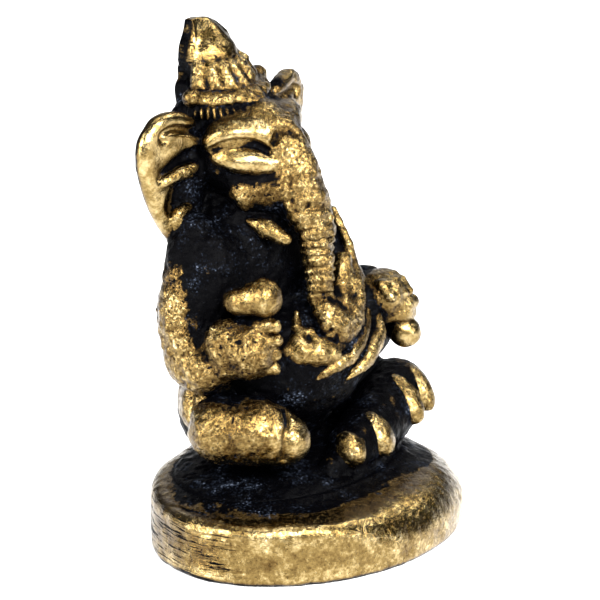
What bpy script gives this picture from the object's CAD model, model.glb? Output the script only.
"""A miniature seated elephant-headed deity, cast in brass and blackened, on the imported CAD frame.

The masses of the casting are modelled as distance fields in millimetres, melted together as the
metal is, and cut again into one closed piece for each CAD node.
"""
import math

import bpy
import numpy as np
import openvdb as vdb
from mathutils import Matrix, Vector


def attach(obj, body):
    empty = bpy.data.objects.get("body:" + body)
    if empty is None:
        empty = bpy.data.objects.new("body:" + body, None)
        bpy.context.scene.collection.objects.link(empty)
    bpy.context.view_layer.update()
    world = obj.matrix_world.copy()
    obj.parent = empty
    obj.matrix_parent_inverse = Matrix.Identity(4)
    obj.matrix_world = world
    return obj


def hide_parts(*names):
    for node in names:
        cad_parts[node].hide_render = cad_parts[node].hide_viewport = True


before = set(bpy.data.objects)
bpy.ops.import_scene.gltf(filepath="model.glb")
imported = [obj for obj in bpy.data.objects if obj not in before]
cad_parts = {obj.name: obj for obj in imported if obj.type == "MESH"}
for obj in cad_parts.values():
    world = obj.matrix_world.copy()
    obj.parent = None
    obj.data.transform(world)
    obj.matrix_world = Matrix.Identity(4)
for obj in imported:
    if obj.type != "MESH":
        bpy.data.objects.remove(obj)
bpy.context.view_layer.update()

MM = 0.001
VOXEL = 0.14
# The grid runs a little past the whole figure on every side
LOW = np.array([-15.6, -12.4, -0.8])
HIGH = np.array([15.6, 12.4, 42.8])
SHAPE = tuple(int(n) for n in np.ceil((HIGH - LOW) / VOXEL) + 1)
AXES = [(LOW[a] + VOXEL * np.arange(SHAPE[a])).astype(np.float32) for a in range(3)]
FAR = np.float32(9.0)  # the distance given to places that no form reaches

HEIGHT = 42.0
BACK = 11.5  # where the flat back lies along y
PLINTH = dict(half_width=14.7, half_depth=11.55, height=5.0, shoulder=0.9, foot=0.5)
BELLY = dict(at=(0, 2.4, 14.6), half=(7.0, 6.4, 5.6))


# --- Fields -----------------------------------------------------------------------------------

def window(low, high, margin):
    """The slices of the grid that hold a box and a margin round it."""
    cut = []
    for a in range(3):
        first = max(0, int(math.floor((low[a] - margin - LOW[a]) / VOXEL)))
        last = min(SHAPE[a], int(math.ceil((high[a] + margin - LOW[a]) / VOXEL)) + 1)
        cut.append(slice(first, last))
    return tuple(cut)


def coordinates(cut):
    """x, y and z over a part of the grid, ready to broadcast together."""
    return np.ix_(*(AXES[a][cut[a]] for a in range(3)))


def melt(a, b, reach):
    """The smaller of two distances, with a fillet where they are closer than reach."""
    h = np.maximum(reach - np.abs(a - b), 0) / reach
    return np.minimum(a, b) - h * h * reach * 0.25


def carve(a, b, reach):
    """a with b taken away, with a rounded edge."""
    return -melt(-a, b, reach)


def bump(t, width):
    """1 at nought, and falling off smoothly over width on either side."""
    return np.exp(-(t / width) ** 2)


def rise(t, start, end):
    """0 before start, 1 after end, and smooth between them."""
    u = np.clip((t - start) / (end - start), 0, 1)
    return u * u * (3 - 2 * u)


def fade(values, start, end):
    """0 at start and 1 at end, whichever of the two is greater."""
    way = math.copysign(1, end - start)
    return rise(way * values, way * start, way * end)


def rotation(turn):
    """The matrix of a turn about z, then y, then x, in degrees."""
    spin = Matrix.Identity(3)
    for angle, axis in zip(turn, "XYZ"):
        spin = spin @ Matrix.Rotation(math.radians(angle), 3, axis)
    return np.array(spin)


class Form:
    """A distance field with the box it lies in."""

    def __init__(self, low, high, field):
        self.low, self.high, self.field = np.array(low, float), np.array(high, float), field

    def changed(self, change):
        """The same form with its field passed through change(d, x, y, z)."""
        return Form(self.low, self.high, lambda x, y, z: change(self.field(x, y, z), x, y, z))


def ellipsoid(at, half, turn=(0, 0, 0)):
    """An ellipsoid from its centre, half axes and turn."""
    spin = rotation(turn)
    reach = np.sqrt((spin ** 2) @ (np.array(half, float) ** 2))

    def field(x, y, z):
        px, py, pz = x - at[0], y - at[1], z - at[2]
        local = [spin[0][a] * px + spin[1][a] * py + spin[2][a] * pz for a in range(3)]
        k0 = np.sqrt(sum((local[a] / half[a]) ** 2 for a in range(3)))
        k1 = np.sqrt(sum((local[a] / half[a] ** 2) ** 2 for a in range(3)))
        return k0 * (k0 - 1) / np.maximum(k1, 1e-6)

    return Form(np.array(at) - reach, np.array(at) + reach, field)


def smooth_path(stations, count):
    """Stations of any length, resampled along a Catmull-Rom curve."""
    p = np.array(stations, float)
    p = np.vstack([2 * p[0] - p[1], p, 2 * p[-1] - p[-2]])
    out = []
    for t in np.linspace(0, len(p) - 3 - 1e-9, count):
        i, u = int(t), t - int(t)
        a, b, c, d = p[i:i + 4]
        out.append(0.5 * (2 * b + (c - a) * u + (2 * a - 5 * b + 4 * c - d) * u * u
                          + (3 * b - a - 3 * c + d) * u ** 3))
    return np.array(out)


def nearest(path, x, y, z):
    """Distance to a tapering tube through the path, and how far along it each point lies."""
    best = along = None
    start = 0.0
    for a, b in zip(path[:-1], path[1:]):
        step = b[:3] - a[:3]
        length = float(np.linalg.norm(step))
        px, py, pz = x - a[0], y - a[1], z - a[2]
        t = np.clip((px * step[0] + py * step[1] + pz * step[2]) / length ** 2, 0, 1)
        d = np.sqrt((px - t * step[0]) ** 2 + (py - t * step[1]) ** 2 + (pz - t * step[2]) ** 2)
        d = d - (a[3] + (b[3] - a[3]) * t)
        s = start + t * length
        if best is None:
            best, along = d, s
        else:
            along = np.where(d < best, s, along)
            best = np.minimum(d, best)
        start += length
    return best, along


def path_box(path):
    """The corners of the box round a path's tube."""
    radius = path[:, 3:4]
    return (path[:, :3] - radius).min(axis=0), (path[:, :3] + radius).max(axis=0)


def limb(stations, count=0):
    """A tapering tube through stations of x, y, z and radius, smoothed where count is given."""
    path = smooth_path(stations, count) if count else np.array(stations, float)
    low, high = path_box(path)
    return Form(low, high, lambda x, y, z: nearest(path, x, y, z)[0])


def joined(*forms, reach=0.5):
    """Several forms melted into one."""
    def field(x, y, z):
        whole = forms[0].field(x, y, z)
        for form in forms[1:]:
            whole = melt(whole, form.field(x, y, z), reach)
        return whole

    low = np.min([form.low for form in forms], axis=0)
    high = np.max([form.high for form in forms], axis=0)
    return Form(low, high, field)


def flat_backed(form):
    """The form cut off by the flat back."""
    high = form.high.copy()
    high[1] = min(high[1], BACK)
    return Form(form.low, high, lambda x, y, z: carve(form.field(x, y, z), BACK - y, 0.3))


def mirrored(stations):
    """The same stations on the figure's other side."""
    return [(-s[0],) + tuple(s[1:]) for s in stations]


# --- Base -------------------------------------------------------------------------------------

def plinth():
    """A thick oval slab with rounded edges, worn lower towards its left front."""
    a, b = PLINTH["half_width"], PLINTH["half_depth"]
    height, shoulder, foot = PLINTH["height"], PLINTH["shoulder"], PLINTH["foot"]

    def field(x, y, z):
        k0 = np.sqrt((x / a) ** 2 + (y / b) ** 2)
        k1 = np.sqrt((x / a ** 2) ** 2 + (y / b ** 2) ** 2)
        side = k0 * (k0 - 1) / np.maximum(k1, 1e-4)

        def corner(face, radius):
            u, v = side + radius, face + radius
            outside = np.hypot(np.maximum(u, 0), np.maximum(v, 0))
            return outside + np.minimum(np.maximum(u, v), 0) - radius

        worn = rise(0.6 * x - 0.8 * y, 1.0, 9.0)
        top = z - height + 0.9 * worn * rise(k0, 0.6, 1.0)
        return np.maximum(corner(top, shoulder + 1.8 * worn), corner(-z, foot))

    return Form((-a, -b, 0), (a, b, height), field)


seat = flat_backed(ellipsoid((0.2, 2.4, PLINTH["height"] - 0.9), (11.6, 7.8, 3.2)))
seat = seat.changed(lambda d, x, y, z: np.maximum(d, 2.0 - z))

# --- Legs -------------------------------------------------------------------------------------

right_shin = limb([(-9.0, 1.9, 10.8, 2.8), (-7.45, -0.4, 10.8, 2.85)])
right_anklet = limb([(-7.0, -1.2, 10.6, 2.5), (-6.8, -1.4, 10.5, 2.45)])
right_foot = limb([(-6.6, -1.8, 10.3, 2.2), (-6.1, -2.3, 10.0, 2.1)])
left_shin = limb([(11.0, -0.5, 8.9, 2.85), (6.6, -2.0, 7.9, 2.6), (2.2, -3.0, 7.2, 2.1)])
left_foot = limb([(1.2, -3.3, 6.8, 1.6), (-1.0, -3.3, 6.4, 1.2)])
right_thigh = limb([(-4.2, 6.2, 11.2, 3.2), (-7.4, 4.2, 11.9, 2.55)])
left_thigh = limb([(4.6, 6.0, 10.0, 3.2), (9.8, 2.8, 9.6, 2.9)])
hips = flat_backed(ellipsoid((0, 5.2, 9.8), (8.0, 5.4, 4.0)))

# Raised pleats round the left leg, from the ankle to the knee: x, y, z, width and length as halves
PLEATS = [
    (0.1, -4.3, 7.9, 1.1, 1.6),
    (3.9, -4.0, 8.0, 1.3, 2.1),
    (9.2, -3.0, 9.3, 1.15, 2.4),
    (11.4, -2.5, 9.6, 1.1, 2.3),
]


def pleat(x, y, z, width, length):
    """An oval swelling that lies along the leg's slope."""
    return ellipsoid((x, y, z), (width, 1.2, length), (-45, 0, 0))


# --- Face and trunk ---------------------------------------------------------------------------

head = flat_backed(joined(
    ellipsoid((0, 6.7, 31.7), (5.1, 4.1, 4.2)),
    ellipsoid((0, 5.3, 29.6), (3.6, 3.0, 2.8)),
    ellipsoid((0, 5.7, 34.1), (4.8, 2.7, 1.35)),
    ellipsoid((-5.0, 9.0, 29.0), (1.9, 1.7, 4.0)),
    ellipsoid((5.0, 9.0, 29.0), (1.9, 1.7, 4.0)),
    ellipsoid((-3.1, 9.3, 35.0), (1.5, 1.3, 1.3)),
    ellipsoid((3.1, 9.3, 35.0), (1.5, 1.3, 1.3)),
    ellipsoid((-3.9, 9.7, 33.7), (1.6, 1.5, 1.9)),
    ellipsoid((3.9, 9.7, 33.7), (1.6, 1.5, 1.9)),
    reach=0.9,
))

CHEEK = [(-0.9, 2.4, 29.3, 1.85), (-3.1, 4.0, 28.95, 1.15)]
muzzle = joined(
    limb([(0, 4.3, 34.3, 1.3), (0, 3.0, 33.5, 1.6), (0, 1.9, 32.2, 1.65), (0, 1.0, 30.6, 1.75),
          (0, 0.6, 29.0, 1.9), (0, 0.2, 27.9, 1.85)]),
    limb(CHEEK),
    limb(mirrored(CHEEK)),
    reach=0.9,
)

TRUNK = [(0, 0.1, 27.8, 1.8), (0, -0.75, 26.2, 1.5), (0, -0.95, 24.3, 1.32),
         (-0.1, -1.3, 22.4, 1.1), (-0.3, -1.55, 20.5, 0.98)]
CURL = [(-0.4, -2.0, 19.6, 1.1), (0.0, -2.4, 18.0, 1.75), (1.5, -2.7, 18.1, 1.4),
        (2.8, -2.4, 19.1, 1.15), (3.6, -1.8, 20.6, 0.9)]


def ringed(stations, pitch, depth, count=24):
    """A trunk with rings round it every pitch millimetres."""
    path = smooth_path(stations, count)
    low, high = path_box(path)

    def field(x, y, z):
        d, s = nearest(path, x, y, z)
        wave = np.abs(np.sin(np.pi * s / pitch + 0.35 * np.sin(2.1 * s))) ** 0.55
        return d + depth * (0.6 - wave)

    return Form(low - depth, high + depth, field)


trunk = ringed(TRUNK, 0.8, 0.26)
trunk_curl = joined(
    ringed(CURL, 0.9, 0.12),
    limb([(3.4, -1.0, 22.6, 0.7), (2.4, -1.5, 20.6, 1.0), (1.6, -2.0, 19.4, 1.3)]),
)

EYE = dict(at=(3.2, 3.75, 31.75), length=3.0, height=1.15, turn=(0, 11, 48))
TUSK = [(-3.5, 3.2, 26.8, 0.4), (-3.1, 1.9, 26.4, 0.8), (-2.8, 0.9, 26.0, 0.7),
        (-2.6, 0.1, 25.7, 0.35)]
BROW = [(-4.9, 6.1, 33.4, 0.6), (-3.9, 5.0, 33.95, 0.8), (-2.8, 4.1, 34.05, 0.85),
        (-1.8, 3.4, 33.7, 0.75), (-1.1, 2.8, 33.0, 0.6)]


def eye(side):
    """A lens with pointed corners, bulging from the face."""
    length, high = EYE["length"], EYE["height"]
    at = (side * EYE["at"][0], EYE["at"][1], EYE["at"][2])
    spin = rotation((0, -side * EYE["turn"][1], side * EYE["turn"][2]))
    radius = (length ** 2 + high ** 2) / (2 * high)

    def field(x, y, z):
        px, py, pz = x - at[0], y - at[1], z - at[2]
        u, w, v = (spin[0][a] * px + spin[1][a] * py + spin[2][a] * pz for a in range(3))
        return np.sqrt(u * u + (np.hypot(w, v) + radius - high) ** 2) - radius

    return Form(np.array(at) - length, np.array(at) + length, field)


# --- Sash and thread --------------------------------------------------------------------------

upper_fold = joined(
    limb([(-2.3, -0.6, 19.5, 0.2), (-3.1, -1.4, 18.2, 0.6), (-3.7, -2.0, 17.2, 0.85),
          (-2.9, -2.9, 16.5, 0.9), (-1.4, -3.5, 16.3, 0.75)], 16),
    limb([(-2.3, -2.2, 18.0, 0.6), (-2.3, -2.7, 17.2, 0.9), (-1.0, -3.2, 16.6, 0.9),
          (0.8, -3.3, 16.4, 0.7)]),
    limb([(-4.4, -1.3, 16.9, 0.7), (-3.6, -2.2, 16.7, 0.9)]),
)
middle_fold = limb([(-3.0, -3.3, 14.7, 0.15), (-1.7, -3.9, 15.3, 0.5), (0.3, -4.05, 15.8, 0.68),
                    (1.9, -3.65, 16.5, 0.72), (3.2, -3.15, 17.2, 0.68), (4.6, -2.4, 18.0, 0.5)], 20)
lower_fold = limb([(0, -4.1, 14.0, 0.15), (1.3, -4.15, 14.5, 0.55), (2.5, -4.0, 15.0, 0.75),
                   (3.6, -3.75, 15.7, 0.88), (5.0, -3.2, 16.3, 0.8), (5.8, -2.5, 17.6, 0.5)], 18)
thread = limb([(4.4, 0.8, 26.3, 0.3), (4.6, -0.2, 24.3, 0.38), (4.5, -0.9, 22.3, 0.6),
               (4.2, -1.4, 20.8, 0.95)], 12)

# --- Arms and hands ---------------------------------------------------------------------------

PALM = dict(at=(-7.6, 0.5, 17.7), half=(2.35, 2.8, 2.5))
FINGER = dict(count=4, pitch=1.2, reach=1.5, radius=0.68)


def right_finger(i):
    """One of the folded fingers, counted from the lowest; the middle ones reach furthest."""
    z = PALM["at"][2] + 0.3 + (i - (FINGER["count"] - 1) / 2) * FINGER["pitch"]
    reach = FINGER["reach"] - 0.2 * abs(i - 1.7)
    y = PALM["at"][1] - 1.2
    return limb([(PALM["at"][0] + 0.1, y, z, FINGER["radius"]),
                 (PALM["at"][0] + 0.7, y - reach, z + 0.1, FINGER["radius"] * 0.88)])


right_palm = joined(
    ellipsoid(PALM["at"], PALM["half"], (0, 0, -20)),
    limb([(-7.2, -0.2, 18.8, 1.45), (-7.2, -0.2, 16.7, 1.45)]),
    ellipsoid((-8.6, 1.6, 17.8), (1.9, 2.0, 2.4)),
)
right_thumb = joined(
    limb([(-7.8, 0.6, 21.8, 1.1), (-7.0, -0.8, 22.1, 1.65)]),
    ellipsoid((-8.1, 0.9, 21.6), (0.9, 1.4, 1.0)),
)
right_forearm = limb([(-9.0, 3.6, 15.6, 2.0), (-8.4, 1.9, 16.9, 2.0)])
UPPER_ARM = [(-6.4, 6.6, 25.9, 1.7), (-7.7, 6.3, 23.8, 1.95), (-8.7, 6.0, 20.0, 2.15),
             (-8.5, 5.2, 16.0, 2.4)]


def left_knuckle(i):
    return limb([(6.4 + 0.85 * i, -2.6 - 0.1 * i, 20.0 - 0.1 * i, 0.38),
                 (6.6 + 0.85 * i, -3.5, 19.0, 0.42)])


left_hand = joined(
    ellipsoid((7.9, -1.7, 18.7), (2.3, 2.2, 1.9), (10, 0, 10)),
    *[left_knuckle(i) for i in range(4)],
    reach=0.3,
)
left_index = limb([(7.4, -2.4, 18.2, 0.8), (8.6, -3.5, 18.0, 0.8), (9.4, -3.4, 17.9, 0.75)])
left_little = limb([(7.2, -2.4, 17.2, 0.8), (8.4, -3.5, 17.1, 0.75), (9.3, -3.3, 17.0, 0.7)])
sweet = joined(
    ellipsoid((8.9, -3.2, 15.3), (1.35, 1.35, 1.3)),
    limb([(8.8, -3.1, 15.6, 0.95), (8.4, -2.7, 16.8, 0.9)]),
)
left_forearm = joined(
    limb([(9.3, 4.2, 16.4, 2.1), (8.6, 0.9, 18.3, 2.0)]),
    limb([(7.0, 1.2, 18.6, 2.0), (6.6, -0.8, 18.0, 2.0)]),
)

belly = joined(
    ellipsoid(BELLY["at"], BELLY["half"]),
    ellipsoid((2.4, 0.9, 16.4), (4.6, 4.4, 3.4)),
    ellipsoid((7.1, 0.9, 15.4), (3.2, 3.2, 3.3)),
    reach=1.5,
)
chest = flat_backed(joined(
    ellipsoid((0, 5.8, 22.2), (7.0, 4.9, 6.4)),
    ellipsoid((0, 7.6, 26.4), (4.6, 3.2, 3.4)),
    limb([(4.0, 2.6, 25.2, 1.9), (4.3, 1.3, 22.6, 1.7), (4.0, 1.4, 20.6, 2.0)]),
    ellipsoid((-6.2, 4.9, 21.3), (3.2, 2.7, 5.2)),
    ellipsoid((6.2, 4.9, 21.3), (3.2, 2.7, 5.2)),
    reach=1.2,
))

# --- Ears -------------------------------------------------------------------------------------

# An ear is drawn in its own frame: u outwards from its root, w back and v up
EAR = dict(
    outline=[(-0.1, 3.9), (2.5, 5.5), (4.6, 5.3), (6.0, 4.0), (6.35, 2.2), (5.9, -0.1), (4.9, -2.5),
             (3.2, -5.0), (1.9, -6.2), (0.4, -4.8), (-0.1, -0.5)],
    thickness=1.3,
    root=(4.9, 7.2, 30.7),
)
EAR_RIDGES = dict(
    upper=[(4.7, 0.2, -0.35, 0.3), (3.6, 0.1, 0.0, 0.45), (2.2, 0.1, 0.35, 0.5),
           (0.6, 0.2, 0.5, 0.4)],
    lower=[(1.4, 0.1, -2.8, 0.3), (2.6, -0.1, -2.9, 0.4), (2.9, -0.1, -3.6, 0.45),
           (2.2, -0.1, -4.8, 0.4)],
)
# Each ear's side, how far it sweeps back and how far it droops, in degrees
POISE = dict(right=(-1, 8, 0), left=(1, 17, 9))


def closed_curve(points, count):
    """Points of a loop, resampled along a Catmull-Rom curve."""
    p = np.array(points, float)
    loop = np.vstack([p[-1:], p, p[:2]])
    curve = []
    for t in np.linspace(0, len(p), count, endpoint=False):
        i, u = int(t), t - int(t)
        a, b, c, d = loop[i:i + 4]
        curve.append(0.5 * (2 * b + (c - a) * u + (2 * a - 5 * b + 4 * c - d) * u * u
                            + (3 * b - a - 3 * c + d) * u ** 3))
    return np.array(curve)


def outline_distance(curve, u, v):
    """Signed distance in a plane to a closed curve."""
    best = np.full(np.broadcast(u, v).shape, FAR)
    inside = np.zeros(best.shape, bool)
    for a, b in zip(curve, np.roll(curve, -1, axis=0)):
        eu, ev = b - a
        pu, pv = u - a[0], v - a[1]
        t = np.clip((pu * eu + pv * ev) / (eu * eu + ev * ev), 0, 1)
        best = np.minimum(best, np.hypot(pu - t * eu, pv - t * ev))
        if abs(ev) > 1e-9:
            crosses = ((a[1] > v) != (b[1] > v)) & (pu < eu * pv / ev)
            inside ^= crosses
    return np.where(inside, -best, best)


# Two grooves across the ear's front: one hooked, near the top, and one slanting across the middle
EAR_HOOK = smooth_path([(-0.7, 0.1, 3.2, 0.5), (1.4, 0.0, 3.75, 0.4), (3.0, 0.0, 4.15, 0.32),
                        (4.2, 0.0, 4.0, 0.28), (4.3, 0.0, 3.5, 0.2), (3.8, 0.0, 3.4, 0.12)], 16)
EAR_SLASH = smooth_path([(0.0, 0.1, 1.6, 0.7), (2.2, 0.0, 1.35, 0.55), (4.0, 0.0, 0.65, 0.4),
                         (4.8, 0.0, 0.25, 0.15)], 12)
EAR_CURVE = closed_curve(EAR["outline"], 44)
EAR_GRID = 0.1


def ear_plan():
    """The outline's distance on a fine plane grid, to be looked up."""
    u = np.arange(-4, 10, EAR_GRID)
    v = np.arange(-10, 10, EAR_GRID)
    return u, v, outline_distance(EAR_CURVE, u[:, None], v[None, :])


PLAN = ear_plan()


def in_plan(u, v):
    """The outline's distance looked up on the plane grid."""
    us, vs, table = PLAN
    fu = np.clip((u - us[0]) / EAR_GRID, 0, len(us) - 1.001)
    fv = np.clip((v - vs[0]) / EAR_GRID, 0, len(vs) - 1.001)
    i, j = fu.astype(int), fv.astype(int)
    a, b = fu - i, fv - j
    return ((table[i, j] * (1 - a) + table[i + 1, j] * a) * (1 - b)
            + (table[i, j + 1] * (1 - a) + table[i + 1, j + 1] * a) * b)


def on_head(side, sweep, droop, low, high, field):
    """A form given in the ear's own frame, set on one side of the head."""
    spin = rotation((0, 0, sweep)) @ rotation((0, droop, 0))
    root = np.array([side * EAR["root"][0], EAR["root"][1], EAR["root"][2]])
    corners = np.array([[(low, high)[i >> a & 1][a] for a in range(3)] for i in range(8)]) @ spin.T
    corners[:, 0] *= side
    corners += root

    def local(x, y, z):
        px, py, pz = side * (x - root[0]), y - root[1], z - root[2]
        u, w, v = (spin[0][a] * px + spin[1][a] * py + spin[2][a] * pz for a in range(3))
        return field(u, w, v)

    return flat_backed(Form(corners.min(axis=0), corners.max(axis=0), local))


def ear_flap(u, w, v):
    """A thin plate with a raised rim and a swelling above the middle, hollowed from the front."""
    edge = in_plan(u, v)
    rim = 0.15 * bump(edge + 0.9, 0.8)
    swelling = 0.2 * bump(u - 3.0, 1.4) * bump(v - 2.4, 0.9)
    front = -w - rim - swelling
    flap = -melt(-edge, -np.maximum(front, w - EAR["thickness"]), 0.8)
    for hollow in (
        ellipsoid((1.6, -0.1, -1.9), (2.5, 0.85, 1.75), (0, 12, 0)).field(u, w, v),
        ellipsoid((1.5, -0.1, -4.2), (1.5, 0.7, 1.5), (0, 20, 0)).field(u, w, v),
        nearest(EAR_HOOK, u, w, v)[0],
        nearest(EAR_SLASH, u, w, v)[0],
    ):
        flap = carve(flap, hollow, 0.3)
    return flap


def ear(hand):
    return on_head(*POISE[hand], (-0.6, -0.5, -6.8), (6.8, 1.4, 6.0), ear_flap)


def ear_ridge(hand, which):
    path = smooth_path(EAR_RIDGES[which], 9)
    low, high = path_box(path)
    return on_head(*POISE[hand], low, high, lambda u, w, v: nearest(path, u, w, v)[0])


# --- Crown ------------------------------------------------------------------------------------

# The heights at which the tiers start, and half the width of the strip behind them
CROWN = dict(band=34.95, drum=36.9, cone=38.8, slab=2.5)
RELIEF = 0.3  # room for the ornament round a tier


def turned(profile, axis, lean, relief=None):
    """A form turned about a leaning axis, from radius and z pairs; relief(angle, z) raises it."""
    radii, heights = smooth_path(profile, 40).T
    bottom, top, widest = heights[0], heights[-1], radii.max()

    def field(x, y, z):
        middle = axis + lean * (z - bottom)
        r = np.hypot(x, y - middle)
        radius = np.interp(z.ravel(), heights, radii).reshape(z.shape).astype(np.float32)
        if relief:
            radius = radius + relief(np.arctan2(x, middle - y), z)
        return -melt(0.92 * (radius - r), -np.maximum(bottom - z, z - top), 0.5)

    reach = widest + RELIEF
    return Form((-reach, axis - reach, bottom),
                (reach, axis + lean * (top - bottom) + reach, top), field)


def beads(angle, z, height, count, size, swell):
    """A row of round beads at one height."""
    turn = np.abs(((angle * count / (2 * np.pi)) % 1) - 0.5) * 2
    return swell * np.clip(1 - turn ** 2 * 1.3 - ((z - height) / size) ** 2, 0, 1) ** 0.5


def band_relief(angle, z):
    """Teeth low on the band, a groove above them and a row of beads above that."""
    above = z - CROWN["band"]
    teeth = 0.24 * np.cos(angle * 58) * fade(z, CROWN["band"] + 0.95, CROWN["band"] + 0.75)
    groove = 0.15 * bump(above - 0.95, 0.14)
    return beads(angle, z, CROWN["band"] + 1.35, 26, 0.4, 0.2) + teeth - groove


def drum_relief(angle, z):
    """Upright ribs of uneven width, with a row of beads above them."""
    ribs = 0.42 * np.abs(np.cos(angle * 7.5 + 0.5 * np.sin(3 * angle + 1))) ** 0.8 - 0.22
    ribs = ribs * rise(z, CROWN["drum"] + 0.1, CROWN["drum"] + 0.5)
    return ribs + beads(angle, z, CROWN["cone"] - 0.2, 18, 0.3, 0.2)


crown_band = turned([(4.6, CROWN["band"] - 0.3), (4.9, CROWN["band"] + 0.1),
                     (4.75, CROWN["band"] + 0.9), (4.4, CROWN["band"] + 1.7),
                     (3.9, CROWN["drum"] + 0.1)], 9.8, 0.1, band_relief)
crown_drum = turned([(3.6, CROWN["drum"] - 0.3), (3.75, CROWN["drum"] + 0.2),
                     (3.15, CROWN["drum"] + 1.2), (2.5, CROWN["cone"] + 0.2)],
                    9.9, 0.2, drum_relief)
cone = turned([(2.3, CROWN["cone"] - 0.3), (2.45, CROWN["cone"] + 0.2), (2.25, CROWN["cone"] + 0.9),
               (1.75, HEIGHT - 1.6), (1.05, HEIGHT - 0.8), (0.4, HEIGHT - 0.2)], 10.3, 0.12)


def slab_field(x, y, z):
    """The flat strip of metal behind the crown, filed along its sides."""
    narrow = rise(z, HEIGHT - 2.4, HEIGHT)
    wide = CROWN["slab"] - 1.15 * narrow
    top = z - HEIGHT + 0.3 * np.maximum(x + 0.8, 0)
    front = 10.0 + 0.7 * rise(z, HEIGHT - 1.6, HEIGHT) - y
    side = np.maximum(np.abs(x + 0.35 * narrow) - wide, np.maximum(front, top))
    return -melt(-side, z - 36.0, 0.4)


def narrow_backed(form, wide):
    """Brings a tier's sides in to the strip behind it."""
    def trimmed(d, x, y, z):
        return -melt(-d, wide + 1.6 * np.maximum(10.0 - y, 0) - np.abs(x), 0.4)

    return flat_backed(form.changed(trimmed))


slab = Form((-CROWN["slab"], 9.8, 36.0), (CROWN["slab"], BACK, HEIGHT), slab_field)
crown_cone = joined(cone, slab, reach=0.5)


def rosette(side):
    return ellipsoid((side * 4.3, 8.6, 36.4), (0.8, 0.75, 0.8))


# --- Melting the masses together --------------------------------------------------------------

# Each mass: CAD node, form, and how far it melts into the ones before it
MASSES = [
    ("plinth", plinth(), 0.5),
    ("seat_mound", seat, 2.4),
    ("belly", belly, 0.6),
    ("chest", chest, 0.8),
    ("hips", hips, 0.8),
    ("head", head, 0.6),
    ("crown_band", narrow_backed(crown_band, 3.0), 0.4),
    ("crown_drum", narrow_backed(crown_drum, CROWN["slab"]), 0.3),
    ("crown_cone", flat_backed(crown_cone), 0.3),
    ("right_rosette", rosette(-1), 0.3),
    ("left_rosette", rosette(1), 0.3),
    ("right_thigh", right_thigh, 0.8),
    ("left_thigh", left_thigh, 0.8),
    ("right_shin", right_shin, 0.4),
    ("right_anklet", right_anklet, 0.25),
    ("right_foot", right_foot, 0.25),
    ("left_shin", left_shin, 0.5),
    ("left_foot", left_foot, 0.4),
    *[(f"left_leg_pleat_{i + 1}", pleat(*shape), 0.4) for i, shape in enumerate(PLEATS)],
    ("right_upper_arm", limb(UPPER_ARM, 12), 0.5),
    ("left_upper_arm", limb(mirrored(UPPER_ARM), 12), 0.5),
    ("right_forearm", right_forearm, 0.5),
    ("left_forearm", left_forearm, 0.5),
    ("right_palm", right_palm, 0.4),
    ("left_hand", left_hand, 0.4),
    ("right_thumb", right_thumb, 0.35),
    *[(f"right_finger_{i + 1}", right_finger(i), 0.25) for i in range(FINGER["count"])],
    ("left_index_finger", left_index, 0.25),
    ("left_little_finger", left_little, 0.25),
    ("sweet", sweet, 0.2),
    ("muzzle", muzzle, 1.6),
    ("trunk", trunk, 0.3),
    ("trunk_curl", trunk_curl, 0.25),
    ("right_tusk", limb(TUSK, 8), 0.3),
    ("left_tusk", limb(mirrored(TUSK), 8), 0.3),
    ("right_eye", eye(-1), 0.3),
    ("left_eye", eye(1), 0.3),
    ("right_brow", limb(BROW, 12), 1.0),
    ("left_brow", limb(mirrored(BROW), 12), 1.0),
    ("sash_fold_upper", upper_fold, 0.3),
    ("sash_fold_middle", middle_fold, 0.3),
    ("sash_fold_lower", lower_fold, 0.3),
    ("thread", thread, 0.3),
    *[(f"{hand}_ear", ear(hand), 0.5) for hand in POISE],
    *[(f"{hand}_ear_{which}_ridge", ear_ridge(hand, which), 0.35)
      for hand in POISE for which in EAR_RIDGES],
]
OVERLAP = 0.5  # how far a piece runs on under its neighbours
SINK = 0.5  # how steeply it goes under them
MARGIN = 1.4  # how far round a mass its field is worked out
NOBODY = 255  # the owner of a place near no mass

# The melted metal, the nearest and second nearest mass at each place, and which mass is nearest
whole = np.full(SHAPE, FAR, np.float32)
first = np.full(SHAPE, FAR, np.float32)
second = np.full(SHAPE, FAR, np.float32)
owner = np.full(SHAPE, NOBODY, np.uint8)
fields = []
for index, (name, form, reach) in enumerate(MASSES):
    cut = window(form.low, form.high, MARGIN)
    d = form.field(*coordinates(cut)).astype(np.float32)
    fields.append((cut, d))
    whole[cut] = melt(whole[cut], d, np.float32(reach))
    nearer = d < first[cut]
    second[cut] = np.where(nearer, first[cut], np.minimum(second[cut], d))
    owner[cut] = np.where(nearer, index, owner[cut])
    first[cut] = np.minimum(first[cut], d)


# --- Creases cut after the masses were joined --------------------------------------------------

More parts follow.
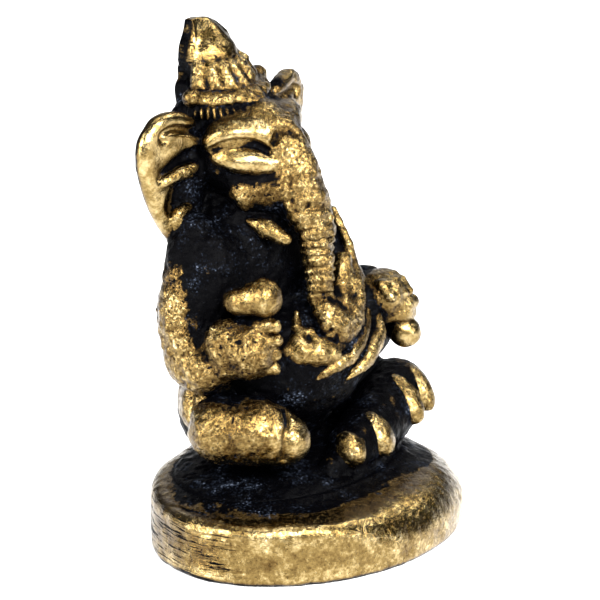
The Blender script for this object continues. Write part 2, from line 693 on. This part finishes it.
# Stations of x, y, z and width, with the depth to cut
CREASES = [
    # under the right brow
    ([(-5.2, 5.7, 32.9, 0.15), (-4.8, 4.6, 33.5, 0.2), (-3.8, 3.6, 33.6, 0.22),
      (-2.7, 3.0, 33.2, 0.22), (-2.1, 2.5, 32.6, 0.15)], 0.45),
    # above the root of the trunk
    ([(-1.5, 2.3, 33.3, 0.2), (-1.1, 2.15, 33.95, 0.3), (-0.55, 1.85, 34.1, 0.35),
      (-0.2, 1.3, 33.8, 0.2)], 0.5),
    # across the trunk, twice near its root and once near its tip
    ([(-1.2, -1.1, 28.2, 0.2), (-0.6, -1.5, 28.3, 0.3), (0.4, -1.7, 28.2, 0.3)], 0.45),
    ([(-1.3, -1.3, 27.0, 0.2), (-0.8, -1.8, 27.2, 0.3), (0.2, -2.0, 27.2, 0.3)], 0.45),
    ([(-1.2, -1.95, 20.6, 0.2), (-0.7, -2.3, 20.7, 0.3), (-0.2, -2.5, 20.5, 0.3)], 0.5),
    # round the nostril
    ([(-1.5, -3.1, 18.15, 0.17), (-1.2, -3.35, 18.35, 0.17), (-0.95, -3.65, 18.1, 0.17),
      (-0.9, -3.6, 17.55, 0.17), (-1.2, -3.35, 17.35, 0.17), (-1.6, -3.2, 17.6, 0.17)], 0.2),
    # between the sash and the trunk's tip
    ([(-2.1, -2.4, 18.6, 0.15), (-2.15, -3.0, 17.5, 0.15), (-1.2, -3.7, 16.5, 0.15),
      (0.6, -4.1, 16.3, 0.15)], 0.25),
    # between the right arm and the palm
    ([(-10.2, 4.4, 20.0, 0.5), (-9.9, 4.0, 18.7, 0.5), (-10.0, 2.9, 17.5, 0.4),
      (-10.3, 1.9, 16.6, 0.3)], 0.4),
    # between the right ankle and the foot
    ([(-6.2, -2.4, 12.6, 0.2), (-6.9, -3.1, 11.8, 0.25), (-7.5, -3.55, 11.2, 0.25),
      (-7.75, -3.7, 10.2, 0.25), (-7.5, -3.3, 8.9, 0.2)], 0.5),
    # at the back of the right knee
    ([(-9.3, 4.7, 13.3, 0.3), (-9.9, 4.4, 11.9, 0.35), (-10.5, 4.0, 11.1, 0.25)], 0.4),
]
CREASE_MARGIN = 1.2
SOFTNESS = 1.3  # a crease's cross-section against the width it is given
for stations, depth in CREASES:
    path = smooth_path(stations, 3 * len(stations))
    low, high = path_box(path)
    cut = window(low, high, CREASE_MARGIN)
    gap, _ = nearest(path * (1, 1, 1, 0), *coordinates(cut))
    whole[cut] += depth * bump(gap, np.mean(path[:, 3]) * SOFTNESS).astype(np.float32)


# --- Surface unevenness -----------------------------------------------------------------------

def noise(size, seed):
    """Smooth noise on the whole grid, with lumps of about that size."""
    counts = [int((HIGH[a] - LOW[a]) / size) + 3 for a in range(3)]
    values = np.random.default_rng(seed).normal(0, 1, counts).astype(np.float32)
    for a in range(3):
        at = (AXES[a] - LOW[a]) / size
        i = at.astype(int)
        t = (at - i).astype(np.float32)
        t = t * t * (3 - 2 * t)
        values = np.moveaxis(values, a, 0)
        shape = (-1,) + (1,) * (values.ndim - 1)
        values = values[i] * (1 - t.reshape(shape)) + values[i + 1] * t.reshape(shape)
        values = np.moveaxis(values, 0, a)
    return values


def layered(layers):
    """Layers of noise added up, each of a size, a seed and a depth."""
    return sum(depth * noise(size, seed) for size, seed, depth in layers)


def blurred(values, sigma):
    """Three box filters in each direction, which come close to a Gaussian."""
    half = max(1, int(round((math.sqrt(4 * (sigma / VOXEL) ** 2 + 1) - 1) / 2)))
    for a in range(3):
        values = np.moveaxis(values, a, 0)
        for _ in range(3):
            before = np.repeat(values[:1], half + 1, 0)
            after = np.repeat(values[-1:], half, 0)
            total = np.cumsum(np.concatenate([before, values, after]), axis=0, dtype=np.float32)
            values = (total[2 * half + 1:] - total[:-2 * half - 1]) / (2 * half + 1)
        values = np.moveaxis(values, 0, a)
    return np.ascontiguousarray(values, dtype=np.float32)


# How coarse each mass was left by the mould, from 0, filed smooth, to 1
GRIT = dict(plinth=0.26, seat_mound=0.8, belly=0.7, chest=0.8, hips=0.7, head=0.45,
            crown_band=0.5, crown_drum=0.55, crown_cone=0.05, right_shin=0.6, right_foot=0.25,
            right_anklet=0.3, right_upper_arm=0.8, right_forearm=0.8, right_palm=0.85,
            right_thumb=0.35, muzzle=0.8, trunk=0.85, trunk_curl=0.8, right_ear=0.08, left_ear=0.5,
            right_eye=0.1, right_brow=0.15, thread=0.8, sweet=0.2, left_hand=0.5, right_thigh=0.7,
            left_shin=0.7)
USUAL_GRIT = 0.45
coarseness = np.full(NOBODY + 1, USUAL_GRIT, np.float32)
for index, (name, _, _) in enumerate(MASSES):
    coarseness[index] = GRIT.get(name, USUAL_GRIT)

# Layers of size, seed and depth
SWELLS = [(3.0, 1, 0.05), (1.3, 2, 0.03)]  # on every mass, left from the modelling
GRAINS = [(0.8, 3, 0.07), (0.4, 4, 0.07)]  # where the casting is coarse
PITS = [(0.6, 5, 1), (2.2, 6, 0.5)]  # scattered, and closer together in some places
PIT_START, PIT_LIMIT = 1.1, 1.5
PIT_DEPTH = 0.10

grit = blurred(coarseness[owner], 0.5)
whole += layered(SWELLS)
whole += grit * layered(GRAINS)
pitting = grit * np.clip(layered(PITS) - PIT_START, 0, PIT_LIMIT)
whole += PIT_DEPTH * pitting
whole = np.maximum(whole, -AXES[2][None, None, :])  # the underside stays flat

# --- Hollows, where the patina stays ----------------------------------------------------------

# How much metal there is round each place, near it, further off and over a wide reach
SCALES = (0.45, 1.1, 2.6)
filled = np.clip(0.5 - whole / VOXEL, 0, 1)
crowding = [blurred(filled, sigma) for sigma in SCALES]


def sampled(values, points):
    """Values of the grid at points between its nodes."""
    at = (points - LOW) / VOXEL
    at = np.clip(at, 0, np.array(SHAPE) - 1.001)
    i = at.astype(int)
    t = at - i
    out = 0
    for corner in range(8):
        o = [(corner >> a) & 1 for a in range(3)]
        weight = np.prod([t[:, a] if o[a] else 1 - t[:, a] for a in range(3)], axis=0)
        out = out + weight * values[i[:, 0] + o[0], i[:, 1] + o[1], i[:, 2] + o[2]]
    return out


# --- Materials --------------------------------------------------------------------------------

BLACK, WHITE = (0, 0, 0), (1, 1, 1)


def cast_metal(name):
    """Cast brass under a black patina, bared where the mesh's own values say that it was rubbed."""
    material = bpy.data.materials.new(name)
    material.use_nodes = True
    tree = material.node_tree
    tree.nodes.clear()
    link = tree.links.new

    def node(kind, **values):
        n = tree.nodes.new(kind)
        for key, value in values.items():
            setattr(n, key, value)
        return n

    def maths(operation, a, b):
        n = node("ShaderNodeMath", operation=operation)
        for socket, value in zip(n.inputs, (a, b)):
            if isinstance(value, (int, float)):
                socket.default_value = value
            else:
                link(value, socket)
        return n.outputs[0]

    def grain(scale, detail=3.0, rough=0.6, stretch=None):
        n = node("ShaderNodeTexNoise")
        n.inputs["Scale"].default_value = scale
        n.inputs["Detail"].default_value = detail
        n.inputs["Roughness"].default_value = rough
        source = place
        if stretch:
            squeeze = node("ShaderNodeMapping")
            squeeze.inputs["Scale"].default_value = stretch
            link(place, squeeze.inputs["Vector"])
            source = squeeze.outputs[0]
        link(source, n.inputs["Vector"])
        return n.outputs["Fac"]

    def ramp(value, stops):
        n = node("ShaderNodeValToRGB")
        elements = n.color_ramp.elements
        while len(elements) < len(stops):
            elements.new(0.5)
        for element, (at, colour) in zip(elements, stops):
            element.position = at
            element.color = (*colour, 1)
        link(value, n.inputs[0])
        return n.outputs[0]

    def mixed(a, b, share):
        """a + b * share"""
        return maths("ADD", a, maths("MULTIPLY", b, share))

    def centred(value, middle=0.5):
        return maths("SUBTRACT", value, middle)

    place = node("ShaderNodeTexCoord").outputs["Object"]
    rub = node("ShaderNodeAttribute", attribute_name="rub").outputs["Fac"]
    grit = node("ShaderNodeAttribute", attribute_name="grit").outputs["Fac"]
    brush = node("ShaderNodeAttribute", attribute_name="brush").outputs["Fac"]
    fine = grain(3200, 4.0, 0.7)
    coarse = grain(900, 4.0, 0.65)
    pits = grain(2600, 2.0, 0.5)
    strokes = grain(1.0, 3.0, 0.6, stretch=(380, 380, 5200))

    # How bare the metal is: rubbed high spots, with patina left in the pits and file marks
    bare = mixed(rub, centred(coarse), 0.55)
    bare = mixed(bare, centred(fine), maths("ADD", 0.25, maths("MULTIPLY", grit, 0.65)))
    pitted = maths("MULTIPLY", ramp(pits, [(0.60, BLACK), (0.68, WHITE)]), maths("ADD", 0.15, grit))
    bare = mixed(bare, pitted, -0.45)
    scored = maths("MULTIPLY", ramp(strokes, [(0.54, BLACK), (0.63, WHITE)]), brush)
    bare = mixed(bare, scored, -0.8)
    mask = ramp(bare, [(0.40, BLACK), (0.54, WHITE)])
    pocked = ramp(grain(3300, 3.0, 0.6), [(0.58, BLACK), (0.64, WHITE)])
    mask = maths("MULTIPLY", mask, maths("SUBTRACT", 1.0, maths("MULTIPLY", pocked, grit)))

    # Smooth parts were polished brighter than rough ones
    tone = mixed(maths("MULTIPLY", bare, 0.45), coarse, 0.45)
    tone = mixed(tone, centred(grit, 0.35), -0.17)
    tone = mixed(tone, maths("MULTIPLY", centred(grain(3600, 3.0, 0.7)), grit), 1.1)
    brass = ramp(tone, [(0.28, (0.028, 0.016, 0.005)), (0.47, (0.070, 0.042, 0.013)),
                        (0.66, (0.155, 0.105, 0.036)), (0.82, (0.36, 0.275, 0.13)),
                        (0.95, (0.80, 0.68, 0.44))])
    # The patina is black, with paler specks caught in it
    dust = mixed(grain(4600, 3.0, 0.75), centred(grain(420, 3.0, 0.6)), 0.7)
    specks = ramp(dust, [(0.60, (0.0004, 0.0004, 0.0006)), (0.72, (0.010, 0.013, 0.020)),
                         (0.84, (0.12, 0.14, 0.18))])
    colour = node("ShaderNodeMix", data_type="RGBA")
    link(mask, colour.inputs["Factor"])
    link(specks, colour.inputs["A"])
    link(brass, colour.inputs["B"])

    rough = mixed(0.05, grain(1500, 3.0, 0.6), 0.24)
    rough = mixed(rough, grit, 0.05)
    rough = mixed(rough, maths("SUBTRACT", 1.0, mask), 0.10)

    # The finest roughness, too small for the mesh
    height = mixed(maths("MULTIPLY", fine, maths("ADD", 0.25, grit)), grain(6000, 3.0, 0.7), 0.25)
    height = mixed(height, pitted, -0.35)
    height = mixed(height, maths("MULTIPLY", strokes, brush), 1.0)
    height = mixed(height, mask, 0.2)
    relief = node("ShaderNodeBump")
    relief.inputs["Strength"].default_value = 0.9
    relief.inputs["Distance"].default_value = 0.0001
    link(height, relief.inputs["Height"])

    shader = node("ShaderNodeBsdfPrincipled")
    shader.inputs["Specular IOR Level"].default_value = 0.015
    link(colour.outputs["Result"], shader.inputs["Base Color"])
    link(mask, shader.inputs["Metallic"])
    link(rough, shader.inputs["Roughness"])
    link(relief.outputs[0], shader.inputs["Normal"])
    out = node("ShaderNodeOutputMaterial")
    link(shader.outputs[0], out.inputs["Surface"])
    return material


FINISH = {"polished_brass": cast_metal("rubbed_brass"), "dark_patina": cast_metal("black_patina")}

# --- Pieces -----------------------------------------------------------------------------------

def main_body(points, faces):
    """Only the largest closed shell of a mesh of quads."""
    label = np.arange(len(points))
    edges = np.concatenate([faces[:, [0, 1]], faces[:, [1, 2]], faces[:, [2, 3]]])
    while True:
        low = np.minimum(label[edges[:, 0]], label[edges[:, 1]])
        new = label.copy()
        np.minimum.at(new, edges[:, 0], low)
        np.minimum.at(new, edges[:, 1], low)
        new = new[new]
        if np.array_equal(new, label):
            break
        label = new
    sizes = np.bincount(label[faces[:, 0]], minlength=len(points))
    keep = label == sizes.argmax()
    number = np.cumsum(keep) - 1
    return points[keep], number[faces[keep[faces[:, 0]]]]


def rubbed(points):
    """How far the patina is rubbed off: most on ridges and bulges, least in hollows and pits."""
    near, mid, wide = (sampled(c, points) for c in crowding)
    return np.clip(0.5 + 2.2 * (0.5 - near) + 2.2 * (0.47 - mid) + 1.2 * (0.5 - wide)
                   - 0.4 * sampled(pitting, points), 0, 1)


# Masses that kept their patina, and by how much their rubbing is lessened
DARK = {"seat_mound": 0.45, "belly": 0.5, "chest": 0.68, "hips": 0.5,
        "left_thigh": 0.45, "left_shin": 0.55, "left_foot": 0.6}
# Masses rubbed more or less than their shape alone would say
BARE = {"right_ear_lower_ridge": 0.5, "right_ear_upper_ridge": 0.3, "left_leg_pleat_1": 0.4,
        "left_leg_pleat_2": 0.4, "left_leg_pleat_3": 0.4, "left_leg_pleat_4": 0.4,
        "right_eye": 0.2, "right_foot": 0.2, "crown_band": 0.1, "right_thigh": 0.35,
        "plinth": 0.05, "right_thumb": -0.2, "right_palm": -0.06, "right_shin": -0.1,
        "crown_cone": -0.18, "crown_drum": 0.15}

# Touches of where each starts, where it is full, its amount and its masses; each fades in along
# the axes on which the two points differ
TOUCHES = [
    ((-10.6, 0, 16.5), (-9.6, 0, 19.0), -0.45, ("right_upper_arm",)),
    ((-8.0, 0, 0), (-9.6, 0, 0), -0.15, ("right_palm",)),
    ((0, 8.45, 0), (0, 8.85, 0), -0.6, ("right_ear",)),
    ((0, 0, 23.5), (0, 0, 26.0), -0.8, ("right_upper_arm", "left_upper_arm")),
    ((0, 0.0, 0), (0, 1.8, 0), -0.35, ("right_thumb",)),
    ((0, 9.0, 0), (0, 10.2, 0), -0.6, ("head",)),
    ((0, -1.6, 0), (0, 0.0, 0), -0.5, ("left_hand", "left_forearm")),
    ((-1.4, 10.0, 0), (-1.7, 10.6, 0), -0.45, ("crown_cone",)),
    ((-2.2, 9.6, 0), (-2.5, 10.4, 0), -0.45, ("crown_drum", "crown_band")),
]
# Dabs of x, y, z, radius and amount
DABS = [
    # behind the rosettes, and under the right ear
    (-4.2, 10.0, 35.4, 2.2, -0.9),
    (4.2, 10.0, 35.4, 2.2, -0.9),
    (-5.2, 7.0, 25.6, 2.5, -0.6),
    # the forehead over the right brow, and the root of the trunk
    (-4.6, 5.6, 34.4, 1.2, 0.5),
    (-3.2, 4.0, 34.7, 1.3, 0.5),
    (-1.6, 2.8, 34.7, 1.3, 0.5),
    (-1.6, 1.7, 31.6, 0.9, 0.7),
    (-1.4, 1.9, 32.5, 0.8, 0.6),
    # the right temple, the right ear's lobe and the groove across that ear
    (-5.4, 7.0, 29.5, 2.2, -0.5),
    (-7.3, 8.0, 27.4, 1.0, 0.6),
    (-9.4, 7.8, 31.8, 0.7, -0.45),
    (-8.1, 8.1, 31.9, 0.7, -0.45),
    (-6.9, 8.1, 32.2, 0.7, -0.45),
    (-5.9, 8.0, 32.5, 0.7, -0.45),
    # the right knee, and the front of the left ear
    (-10.0, 4.5, 12.8, 1.8, 0.5),
    (6.3, 8.2, 35.4, 0.8, -0.7),
    (7.9, 8.1, 33.6, 0.8, -0.7),
    # the plinth beside the right leg, and that leg's shin
    (-11.5, 3.5, 5.0, 3.2, -0.4),
    (-9.9, 0.6, 12.4, 1.6, -0.15),
    (-11.0, 0.4, 10.2, 1.4, -0.15),
    # the gap between the right arm and the hand
    (-9.7, 3.5, 17.8, 1.5, 0.5),
    (-9.5, 3.9, 19.6, 1.1, 0.4),
    (-9.2, 2.2, 18.6, 1.0, 0.4),
    (-9.2, 1.4, 21.4, 1.0, 0.3),
]


def painted(name, points):
    """Where the patina was left or rubbed away by hand, whatever the shape."""
    x, y, z = points.T
    extra = np.zeros(len(points))
    for start, end, amount, names in TOUCHES:
        if name in names:
            extra += amount * np.prod([fade(points[:, a], start[a], end[a])
                                       for a in range(3) if start[a] != end[a]], axis=0)
    for cx, cy, cz, radius, amount in DABS:
        away = (x - cx) ** 2 + (y - cy) ** 2 + (z - cz) ** 2
        extra += amount * np.exp(-away / radius ** 2)
    if name == "plinth":
        # Its top is black round the figure out to an uneven line, and so is the foot of its side
        inner = np.hypot(x / PLINTH["half_width"], y / PLINTH["half_depth"])
        limit = (0.72 - 0.16 * bump(x - 1, 6) * fade(y, -2, -7)
                 + 0.1 * rise(x, 4, 9) - 0.1 * rise(y, 2, 6))
        extra -= 0.9 * rise(z, 3.6, 4.6) * (1 - rise(inner, limit - 0.05, limit + 0.05))
        extra -= 0.7 * (1 - rise(z, 0.15, 0.5))
    return extra


def filed(name, points):
    """Where a file left its strokes: the right back of the plinth, and the right of the cone."""
    x, y, z = points.T
    if name == "plinth":
        return rise(0.8 * y - 0.6 * x, 3.5, 8.0) * fade(z, 5.2, 4.6)
    if name == "crown_cone":
        return fade(x, -2.2, -2.4)
    return np.zeros(len(points))


OUTSIDE = 1.0  # the value of the grid beyond a piece


def piece_surface(index):
    """The points and quads of one mass's share of the metal, its faces turned outwards."""
    cut, d = fields[index]
    others = np.where(owner[cut] == index, second[cut], first[cut])
    solid = np.maximum(whole[cut] + SINK * np.maximum(0, d - others), d - OVERLAP)
    grid = vdb.FloatGrid(background=OUTSIDE)
    grid.copyFromArray(np.pad(solid, 1, constant_values=OUTSIDE))
    points, _, quads = grid.convertToPolygons(isovalue=0.0, adaptivity=0.0)
    corner = np.array([LOW[a] + VOXEL * (cut[a].start - 1) for a in range(3)])
    points, quads = main_body(points * VOXEL + corner, quads.astype(int))
    a, b, c = (points[quads[:, i]] for i in range(3))
    if np.einsum("ij,ij->", a, np.cross(b, c)) < 0:
        quads = quads[:, ::-1]
    return points, quads


def make_piece(index):
    """One closed piece of the casting, in place of its CAD node."""
    name = MASSES[index][0]
    points, quads = piece_surface(index)
    mesh = bpy.data.meshes.new(f"{name}_metal")
    mesh.vertices.add(len(points))
    mesh.vertices.foreach_set("co", (points * MM).astype(np.float32).ravel())
    mesh.loops.add(quads.size)
    mesh.loops.foreach_set("vertex_index", quads.astype(np.int32).ravel())
    mesh.polygons.add(len(quads))
    mesh.polygons.foreach_set("loop_start", np.arange(0, quads.size, 4, dtype=np.int32))
    mesh.update(calc_edges=True)
    mesh.validate()
    mesh.shade_smooth()
    by_mass = BARE.get(name, -DARK.get(name, 0.0))
    rub = np.clip(rubbed(points) + by_mass + painted(name, points), 0, 1)
    finish = dict(rub=rub, grit=sampled(grit, points), brush=filed(name, points))
    for kind, values in finish.items():
        layer = mesh.attributes.new(kind, "FLOAT", "POINT")
        layer.data.foreach_set("value", values.astype(np.float32))
    slot = "dark_patina" if name in DARK else "polished_brass"
    mesh.materials.append(FINISH[slot])
    piece = bpy.data.objects.new(f"{name}_cast", mesh)
    bpy.context.scene.collection.objects.link(piece)
    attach(piece, "root")
    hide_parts(name)


for index in range(len(MASSES)):
    make_piece(index)


# --- Studio -----------------------------------------------------------------------------------

# Everything in the studio is in metres and watts
FLOOR_HALF = 1.2
FLOOR_DROP = 0.00002
WORLD_LIGHT = 0.10
MIDDLE = (0, 0, 0.02)  # where every lamp points
# Softboxes of name, place, width and height, and power
SOFTBOXES = [
    ("key", (-0.11, -0.33, 0.31), (0.26, 0.14), 5.6),
    ("side", (-0.34, -0.22, 0.31), (0.10, 0.12), 1.8),
    ("front", (0.03, -0.40, 0.17), (0.07, 0.16), 1.4),
    ("left", (-0.30, 0.12, 0.15), (0.09, 0.20), 2.4),
    ("right", (0.28, -0.09, 0.35), (0.09, 0.09), 1.0),
    ("back", (0.42, 0.33, 0.22), (0.40, 0.25), 0.4),
    ("top", (0.02, 0.02, 0.50), (0.14, 0.14), 0.8),
]


def paper_floor():
    """A large sheet of white paper under the plinth."""
    half = FLOOR_HALF
    mesh = bpy.data.meshes.new("studio_floor")
    mesh.from_pydata([(-half, -half, 0), (half, -half, 0), (half, half, 0), (-half, half, 0)],
                     [], [(0, 1, 2, 3)])
    floor = bpy.data.objects.new("studio_floor", mesh)
    floor.location = (0, 0, -FLOOR_DROP)
    bpy.context.scene.collection.objects.link(floor)
    paper = bpy.data.materials.new("paper")
    paper.use_nodes = True
    shader = paper.node_tree.nodes["Principled BSDF"]
    shader.inputs["Base Color"].default_value = (0.92, 0.92, 0.92, 1)
    shader.inputs["Roughness"].default_value = 0.9
    shader.inputs["Specular IOR Level"].default_value = 0.0
    mesh.materials.append(paper)


def soft_light():
    """A pale surrounding, and softboxes that shine on the figure."""
    world = bpy.data.worlds.new("studio")
    world.use_nodes = True
    background = world.node_tree.nodes["Background"]
    background.inputs[0].default_value = (1, 1, 1, 1)
    background.inputs[1].default_value = WORLD_LIGHT
    bpy.context.scene.world = world
    for name, at, size, power in SOFTBOXES:
        data = bpy.data.lights.new(name, "AREA")
        data.shape = "RECTANGLE"
        data.size, data.size_y = size
        data.energy = power
        lamp = bpy.data.objects.new(name, data)
        lamp.location = at
        lamp.rotation_euler = (Vector(MIDDLE) - Vector(at)).to_track_quat("-Z", "Y").to_euler()
        bpy.context.scene.collection.objects.link(lamp)


AZIMUTH, ELEVATION = math.radians(52.0), math.radians(19.1)
AIM = Vector((0.91, 1.55, 19.27)) * MM
DISTANCE, ACROSS = 0.5, 0.04902  # how far off the camera is, and the width that it takes in there
SENSOR = 36


def camera():
    """A long lens, from the figure's right front quarter and a little above it."""
    view = Vector((math.sin(AZIMUTH) * math.cos(ELEVATION), math.cos(AZIMUTH) * math.cos(ELEVATION),
                   -math.sin(ELEVATION)))
    data = bpy.data.cameras.new("camera")
    data.sensor_width = SENSOR
    data.lens = SENSOR * DISTANCE / ACROSS
    data.clip_start, data.clip_end = 0.01, 10
    eye_point = bpy.data.objects.new("camera", data)
    eye_point.location = AIM - DISTANCE * view
    eye_point.rotation_euler = view.to_track_quat("-Z", "Y").to_euler()
    bpy.context.scene.collection.objects.link(eye_point)
    bpy.context.scene.camera = eye_point


paper_floor()
soft_light()
camera()
bpy.context.scene.view_settings.view_transform = "Standard"
bpy.context.view_layer.update()
